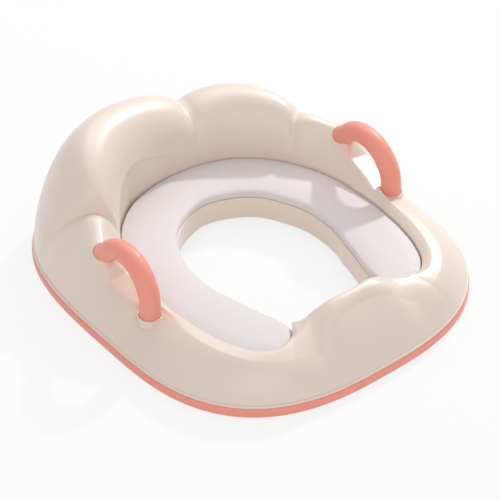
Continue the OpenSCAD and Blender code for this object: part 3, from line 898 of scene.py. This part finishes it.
class SEAT_OT_cushion(bpy.types.Operator):
    """Make the horseshoe cushion: a rounded section swept round the recess, its ends
    closed in a round, its top swollen by cloth pressure"""

    bl_idname = "seat.cushion"
    bl_label = "Cushion"

    def execute(self, context):
        sizes = context.scene.seat_sizes
        form = Form(sizes)
        end = GUARD_A - CUSHION_SHORT
        a = np.append(dense(-end, end, 2.2, [(-147, 7, 0.55), (147, 7, 0.55)]), end)
        inner = form.hole(a) + LEDGE_MIN
        outer = form.recess(a) - CUSHION_GAP
        mid, half = ((inner + outer) / 2)[:, None], ((outer - inner) / 2)[:, None]
        base = DECK_Z + CUSHION_RISE
        t = np.linspace(0, 180, 33)[None, :]
        c = cos_d(t)
        n = np.where(c > 0, *CUSHION_N)
        near = np.clip((end - np.abs(a)) / CUSHION_ROUND, 0, 1)
        close = np.maximum(power(1 - (1 - near) ** 2, 0.5), END_SHARE)[:, None]
        over_r = mid + close * half * np.sign(c) * power(np.abs(c), 2 / n)
        over_z = base + (form.cushion_z - base) * (0.35 + 0.65 * close) * power(sin_d(t), 2 / n)
        under_r = mid + close * half * np.linspace(-0.9, 0.9, UNDER_COUNT)[None, :]
        under = np.stack([under_r, np.full(under_r.shape, base)], -1)
        section = np.concatenate([np.stack([over_r, over_z], -1), under], 1)
        obj = skin("cushion", form.to_mesh(a, section), wrap=False, sharp=80)
        self.swell(obj, over_z.shape, sizes.swell)
        smooth = obj.modifiers.new("smooth", "SUBSURF")
        smooth.levels = smooth.render_levels = 1
        stand_in(obj, foam_skin("cushion_skin", context.scene.seat_colours.cushion),
                 "seat_cushion")
        return {"FINISHED"}

    @staticmethod
    def swell(obj, shape, cap):
        """Cloth under inner pressure with gravity off: only the top is free, and no
        point moves further than the cap."""
        mesh = obj.data
        count = len(mesh.vertices)
        rest = np.empty(count * 3)
        mesh.vertices.foreach_get("co", rest)
        rest = rest.reshape(-1, 3)
        rings, over = shape
        row, place = np.divmod(np.arange(count), over + UNDER_COUNT)
        free = (place > 5) & (place < over - 6) & (row > 3) & (row < rings - 4)
        held = obj.vertex_groups.new(name="held")
        held.add(np.flatnonzero(~free).tolist(), 1.0, "REPLACE")
        cloth = obj.modifiers.new("pressure", "CLOTH")
        cloth.settings.quality = 6
        cloth.settings.use_pressure = True
        cloth.settings.uniform_pressure_force = 4.0
        cloth.settings.effector_weights.gravity = 0.0
        cloth.settings.vertex_group_mass = "held"
        scene = bpy.context.scene
        for moment in range(1, 21):
            scene.frame_set(moment)
        evaluated = obj.evaluated_get(bpy.context.evaluated_depsgraph_get())
        moved = np.empty(count * 3)
        evaluated.data.vertices.foreach_get("co", moved)
        move = moved.reshape(-1, 3) - rest
        far = np.linalg.norm(move, axis=1, keepdims=True)
        move *= np.minimum(1, cap / np.maximum(far, 1e-9))
        obj.modifiers.remove(cloth)
        obj.vertex_groups.clear()
        scene.frame_set(1)
        mesh.vertices.foreach_set("co", (rest + move).ravel())
        mesh.update()
        if not np.isfinite(move).all():
            raise RuntimeError("the cushion's pressure ran away")


class SEAT_OT_handles(bpy.types.Operator):
    """Make both handles: a round tube along a leg, an arc and a rear leg, with ends
    that close in their sockets"""

    bl_idname = "seat.handles"
    bl_label = "Handles"

    def execute(self, context):
        form = Form(context.scene.seat_sizes)
        handle_x = form.half_w - HANDLE_INSET
        path = hoop_path()
        radius = np.full(len(path), HANDLE_D / 2)
        radius[[0, -1]] -= 0.8
        grid = lean_in(tube(path, radius, 64), handle_x) * MM
        material = soft_rubber("coral_grip", context.scene.seat_colours.coral, seam=True)
        for side, node in ((1, "handle_right"), (-1, "handle_left")):
            obj = skin("grip_" + node, grid * np.array([side, 1, 1]), wrap=False, sharp=50)
            stand_in(obj, material, node)
        return {"FINISHED"}


class SEAT_OT_band(bpy.types.Operator):
    """Make the grip band: a rounded section carried round the foot print"""

    bl_idname = "seat.band"
    bl_label = "Grip band"

    def execute(self, context):
        form = Form(context.scene.seat_sizes)
        a = np.linspace(-180, 180, 481)[:-1]
        r = form.foot(a)
        t = np.linspace(-90, 0, 9)
        parts = [point(r - BAND_W, 0.0), point(r - BAND_W + 3, 0.0)]
        parts += [point(r - BAND_R + BAND_R * cos_d(v), BAND_R + BAND_R * sin_d(v)) for v in t]
        parts += [point(r - BAND_R + BAND_R * cos_d(v), BAND_H - BAND_R + BAND_R * sin_d(v))
                  for v in -t[::-1]]
        parts += [point(r - BAND_W, BAND_H)]
        obj = skin("band", form.to_mesh(a, np.stack(parts, 1)))
        stand_in(obj, soft_rubber("coral_band", context.scene.seat_colours.coral),
                 "grip_band")
        return {"FINISHED"}


class SEAT_OT_underside(bpy.types.Operator):
    """Finish the underside: grained bottom plate, plated screws with cross recesses"""

    bl_idname = "seat.underside"
    bl_label = "Underside"

    def execute(self, context):
        colours = context.scene.seat_colours
        dress_node("bottom_plate", moulded_plastic("plate_plastic", colours.plate,
                                                   rough=0.48, grain=0.3))
        metal = steel("screw_steel", colours.screws)
        for node in ("handle_screw_left", "handle_screw_right"):
            dress_node(node, metal)
        for i in range(1, 9):
            node = f"plate_screw_{i}"
            low, high = (np.array(v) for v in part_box(node))
            centre = (low + high) / 2
            obj = skin("cross_" + node, self.screw(centre, low[2], high[2],
                                                   (high[0] - low[0]) / 2), wrap=False)
            stand_in(obj, metal, node)
        return {"FINISHED"}

    @staticmethod
    def screw(centre, low, high, radius):
        """Rings from the middle of the head's underside out over its crowned face and
        up the shank; the face is sunk by a cross whose arms taper to its depth. Widths
        are shares of the radius, heights metres."""
        head, tip, deep = 0.0018, 0.0008, 0.0011
        shank, point_end = 0.54, 0.3
        w = np.radians(np.arange(0, 360, 7.5))[None, :]
        r = np.concatenate([[0.02], np.linspace(0.08, 1, 14),
                            [1.0, shank, shank, point_end]])[:, None]
        crown = 1 - np.sqrt(np.maximum(1 - (0.9 * np.linspace(0.02, 1, 15)) ** 2, 0))
        lift = np.concatenate([crown * 0.55 * head, [head, head, high - low - tip,
                                                     high - low]])[:, None]
        x, y = r * np.cos(w), r * np.sin(w)
        across = np.minimum(np.abs(x), np.abs(y))
        out = np.maximum(np.abs(x), np.abs(y))
        sink = np.clip((0.15 - across) / 0.05, 0, 1) * np.clip((0.62 - out) / 0.12, 0, 1)
        z = low + lift + np.where(r < 0.9, deep * sink, 0)
        return np.stack([centre[0] + radius * x, centre[1] + radius * y, z + 0 * x], -1)


class SEAT_OT_stage(bpy.types.Operator):
    """Set the stage: camera at the photograph's angle, key light, soft panel behind,
    broad panel in front, even room light and a pale floor"""

    bl_idname = "seat.stage"
    bl_label = "Stage"

    def execute(self, context):
        scene = context.scene
        stage = scene.seat_stage
        scene.view_settings.view_transform = "Standard"
        lens = bpy.data.cameras.new("camera")
        lens.sensor_width, lens.lens = 36.0, stage.lens
        lens.clip_start, lens.clip_end = 0.05, 50.0
        camera = bpy.data.objects.new("camera", lens)
        camera.location = stage.camera
        look = Vector(stage.aim) - Vector(stage.camera)
        camera.rotation_euler = look.to_track_quat("-Z", "Y").to_euler()
        scene.collection.objects.link(camera)
        scene.camera = camera
        place = Vector(stage.key_from).normalized() * stage.key_far
        self.lamp("key", stage.key, stage.key_size, place)
        self.lamp("panel", stage.panel, stage.panel_size, Vector(stage.panel_at))
        self.lamp("front", stage.front, stage.front_size, Vector(stage.front_at))
        self.room(scene, stage.fill)
        self.floor()
        return {"FINISHED"}

    @staticmethod
    def lamp(name, power_w, size, place):
        """Square lamp that looks at the seat."""
        light = bpy.data.lights.new(name, "AREA")
        light.shape, light.size, light.energy = "SQUARE", size, power_w
        lamp = bpy.data.objects.new(name, light)
        lamp.location = place
        lamp.rotation_euler = (Vector((0, 0, 0.04)) - place).to_track_quat("-Z", "Y").to_euler()
        bpy.context.scene.collection.objects.link(lamp)

    @staticmethod
    def room(scene, strength):
        """White for what the camera sees or a gloss mirrors, plain even light else."""
        world = bpy.data.worlds.new("room")
        scene.world = world
        world.use_nodes = True
        p = Paint(world)
        even = p.node("ShaderNodeBackground", {}, {"Color": (1.0, 0.985, 0.975, 1.0),
                                                   "Strength": strength})
        white = p.node("ShaderNodeBackground", {}, {"Strength": 1.0})
        mix = p.node("ShaderNodeMixShader", {}, {0: p.seen(), 1: even, 2: white})
        p.node("ShaderNodeOutputWorld", {}, {"Surface": mix})

    @staticmethod
    def floor():
        """Broad pale floor, a hair below the seat; to the camera it is mostly lit by
        itself, so that it stays white and keeps a soft shadow."""
        half, below, count = 4.0, 0.0002, 4
        p = paint("floor")
        plain = p.node("ShaderNodeBsdfDiffuse", {}, {"Color": (0.9, 0.9, 0.9, 1)})
        glow = p.node("ShaderNodeEmission", {}, {"Color": (1, 1, 1, 1), "Strength": 1.0})
        mix = p.node("ShaderNodeMixShader", {}, {0: 0.8 * p.seen(), 1: plain, 2: glow})
        p.node("ShaderNodeOutputMaterial", {}, {"Surface": mix})
        u = np.linspace(-half, half, count + 1)
        x, y = np.meshgrid(u, u, indexing="ij")
        verts = np.stack([x, y, np.full(x.shape, -below)], -1).reshape(-1, 3)
        i, j = np.meshgrid(np.arange(count), np.arange(count), indexing="ij")
        k = i * (count + 1) + j
        faces = np.stack([k, k + count + 1, k + count + 2, k + 1], -1).reshape(-1, 4)
        mesh = bpy.data.meshes.new("floor")
        mesh.from_pydata(verts, [], faces.tolist())
        obj = bpy.data.objects.new("floor", mesh)
        bpy.context.scene.collection.objects.link(obj)
        wear(obj, p.owner)


class SEAT_PT_panel(bpy.types.Panel):
    """Sizes, colours and the steps that make the seat"""

    bl_label = "Seat Reducer"
    bl_idname = "SEAT_PT_panel"
    bl_space_type = "VIEW_3D"
    bl_region_type = "UI"
    bl_category = "Seat Reducer"

    def draw(self, context):
        column = self.layout.column()
        for step in STEPS:
            column.operator(step.bl_idname)
        for group in (context.scene.seat_sizes, context.scene.seat_colours,
                      context.scene.seat_stage):
            box = self.layout.box()
            for name in group.__annotations__:
                box.prop(group, name)


STEPS = (SEAT_OT_stage, SEAT_OT_shell, SEAT_OT_band, SEAT_OT_cushion, SEAT_OT_handles,
         SEAT_OT_underside)
GROUPS = {"seat_sizes": SeatSizes, "seat_colours": SeatColours, "seat_stage": SeatStage}


def register():
    """Registers the classes and gives the scene its groups of properties."""
    for kind in (*GROUPS.values(), *STEPS, SEAT_PT_panel):
        bpy.utils.register_class(kind)
    for name, kind in GROUPS.items():
        setattr(bpy.types.Scene, name, PointerProperty(type=kind))


def unregister():
    """Takes the groups of properties and the classes away again."""
    for name in GROUPS:
        delattr(bpy.types.Scene, name)
    for kind in (SEAT_PT_panel, *reversed(STEPS), *reversed(tuple(GROUPS.values()))):
        bpy.utils.unregister_class(kind)


def main():
    """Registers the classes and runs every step."""
    register()
    for step in STEPS:
        group, name = step.bl_idname.split(".")
        getattr(getattr(bpy.ops, group), name)()
    bpy.context.view_layer.update()


if __name__ == "__main__":
    main()
